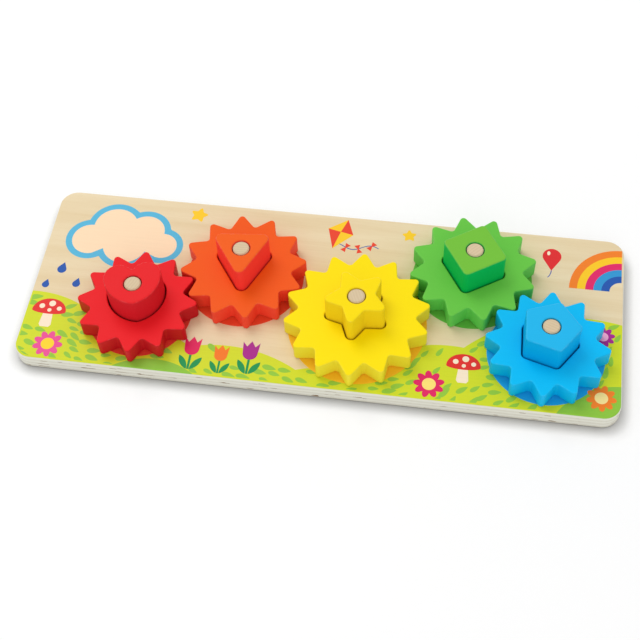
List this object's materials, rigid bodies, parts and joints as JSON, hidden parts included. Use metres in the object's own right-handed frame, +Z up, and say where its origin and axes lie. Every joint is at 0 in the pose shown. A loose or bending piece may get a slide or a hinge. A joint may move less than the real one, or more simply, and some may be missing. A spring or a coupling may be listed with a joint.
{
  "type": "wooden gear board toy",
  "caption": "Printed plywood board with meshing wooden gears on pegs; each gear turns on a lift-out shape block that is its hub and its knob.",
  "frame": {"origin": "middle of the board's underside, on the surface it rests on", "axes": "+Z up, out of the printed face; +X along the board's long side, from the heart to the pentagon; +Y towards the back edge"},
  "size_m": [0.4, 0.142, 0.0458],
  "materials": {
    "board": "printed and lacquered birch plywood, satin, with bare whitish edges",
    "dowel": "bare sanded dowel, matt",
    "red_gear_paint": "solid wood with red satin paint",
    "orange_gear_paint": "solid wood with orange satin paint",
    "yellow_gear_paint": "solid wood with yellow satin paint",
    "green_gear_paint": "solid wood with green satin paint",
    "blue_gear_paint": "solid wood with blue satin paint",
    "red_block_paint": "solid wood with red satin paint",
    "orange_block_paint": "solid wood with orange satin paint",
    "yellow_block_paint": "solid wood with yellow satin paint",
    "green_block_paint": "solid wood with green satin paint",
    "blue_block_paint": "solid wood with blue satin paint"
  },
  "bodies": {
    "board": {"baseboard": "board", "heart_peg": "dowel", "triangle_peg": "dowel", "star_peg": "dowel", "square_peg": "dowel", "pentagon_peg": "dowel"},
    "red_gear": {"red_gear": "red_gear_paint"},
    "heart_block": {"heart_block": "red_block_paint"},
    "orange_gear": {"orange_gear": "orange_gear_paint"},
    "triangle_block": {"triangle_block": "orange_block_paint"},
    "yellow_gear": {"yellow_gear": "yellow_gear_paint"},
    "star_block": {"star_block": "yellow_block_paint"},
    "green_gear": {"green_gear": "green_gear_paint"},
    "square_block": {"square_block": "green_block_paint"},
    "blue_gear": {"blue_gear": "blue_gear_paint"},
    "pentagon_block": {"pentagon_block": "blue_block_paint"}
  },
  "joints": [
    {"name": "red_gear_spin", "type": "hinge", "parent": "board", "child": "red_gear", "pos_m": [-0.12192, -0.02644, 0.0122], "axis": [0, 0, 1], "continuous": true},
    {"name": "orange_gear_spin", "type": "hinge", "parent": "board", "child": "orange_gear", "pos_m": [-0.05607, 0.01036, 0.0122], "axis": [0, 0, 1], "continuous": true},
    {"name": "yellow_gear_spin", "type": "hinge", "parent": "board", "child": "yellow_gear", "pos_m": [0.0251, -0.0187, 0.0122], "axis": [0, 0, 1], "continuous": true},
    {"name": "green_gear_spin", "type": "hinge", "parent": "board", "child": "green_gear", "pos_m": [0.09806, 0.02724, 0.0122], "axis": [0, 0, 1], "continuous": true},
    {"name": "blue_gear_spin", "type": "hinge", "parent": "board", "child": "blue_gear", "pos_m": [0.15046, -0.02702, 0.0122], "axis": [0, 0, 1], "continuous": true},
    {"name": "heart_block_lift", "type": "slide", "parent": "red_gear", "child": "heart_block", "axis": [0, 0, 1], "range_m": [0, 0.04]},
    {"name": "triangle_block_lift", "type": "slide", "parent": "orange_gear", "child": "triangle_block", "axis": [0, 0, 1], "range_m": [0, 0.04]},
    {"name": "star_block_lift", "type": "slide", "parent": "yellow_gear", "child": "star_block", "axis": [0, 0, 1], "range_m": [0, 0.04]},
    {"name": "square_block_lift", "type": "slide", "parent": "green_gear", "child": "square_block", "axis": [0, 0, 1], "range_m": [0, 0.04]},
    {"name": "pentagon_block_lift", "type": "slide", "parent": "blue_gear", "child": "pentagon_block", "axis": [0, 0, 1], "range_m": [0, 0.04]}
  ],
  "couplings": [
    {"joint": "red_gear_spin", "follows": "yellow_gear_spin", "ratio": 1.1667},
    {"joint": "orange_gear_spin", "follows": "yellow_gear_spin", "ratio": -1.1667},
    {"joint": "green_gear_spin", "follows": "yellow_gear_spin", "ratio": -1.1667},
    {"joint": "blue_gear_spin", "follows": "yellow_gear_spin", "ratio": 1.1667}
  ]
}
